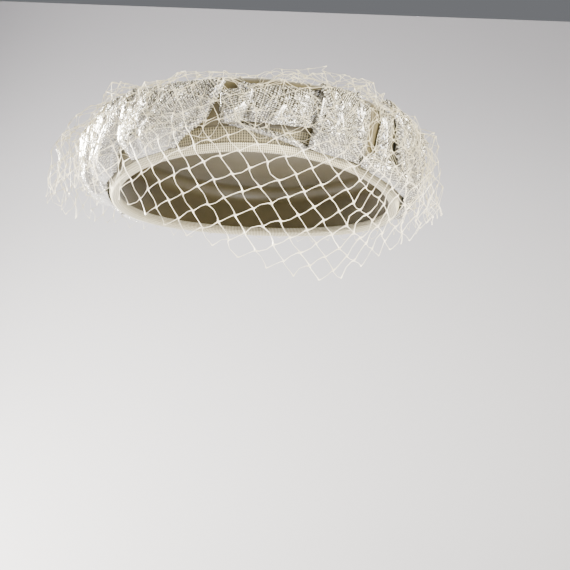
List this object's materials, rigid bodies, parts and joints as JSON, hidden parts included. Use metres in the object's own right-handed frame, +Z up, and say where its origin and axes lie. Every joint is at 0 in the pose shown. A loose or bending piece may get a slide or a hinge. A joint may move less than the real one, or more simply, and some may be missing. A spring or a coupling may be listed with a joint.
{
  "type": "pillbox hat with a net veil",
  "caption": "Shallow pillbox hat of folded shiny straw cloth over a flared foundation with a ribbed bound rim, under a loose diamond net that hangs over the forehead.",
  "frame": {"origin": "the middle of the head opening, level with the rim, where the hat sits on the head", "axes": "+Z up through the crown, -Y to the front where the veil hangs lowest, +X to the wearer's left"},
  "size_m": [0.2296, 0.2397, 0.101],
  "materials": {
    "foundation_cloth": "plain satin-faced cloth over a stiff foundation",
    "ribbed_ribbon": "fine upright ribs, semi-matte",
    "straw_cloth": "glossy woven straw, sparkling",
    "veil_net": "fine knotted thread net"
  },
  "bodies": {
    "root": {"crown": "foundation_cloth", "crown_tip": "foundation_cloth", "rim_binding": "ribbed_ribbon", "side_band": "ribbed_ribbon", "straw_fold_01": "straw_cloth", "straw_fold_02": "straw_cloth", "straw_fold_03": "straw_cloth", "straw_fold_04": "straw_cloth", "straw_fold_05": "straw_cloth", "straw_fold_06": "straw_cloth", "straw_fold_07": "straw_cloth", "straw_fold_08": "straw_cloth", "straw_fold_09": "straw_cloth", "straw_fold_10": "straw_cloth", "straw_fold_11": "straw_cloth", "straw_fold_12": "straw_cloth", "straw_fold_13": "straw_cloth", "straw_fold_14": "straw_cloth", "straw_fold_15": "straw_cloth", "straw_fold_16": "straw_cloth", "straw_fold_17": "straw_cloth", "veil": "veil_net"}
  },
  "joints": []
}
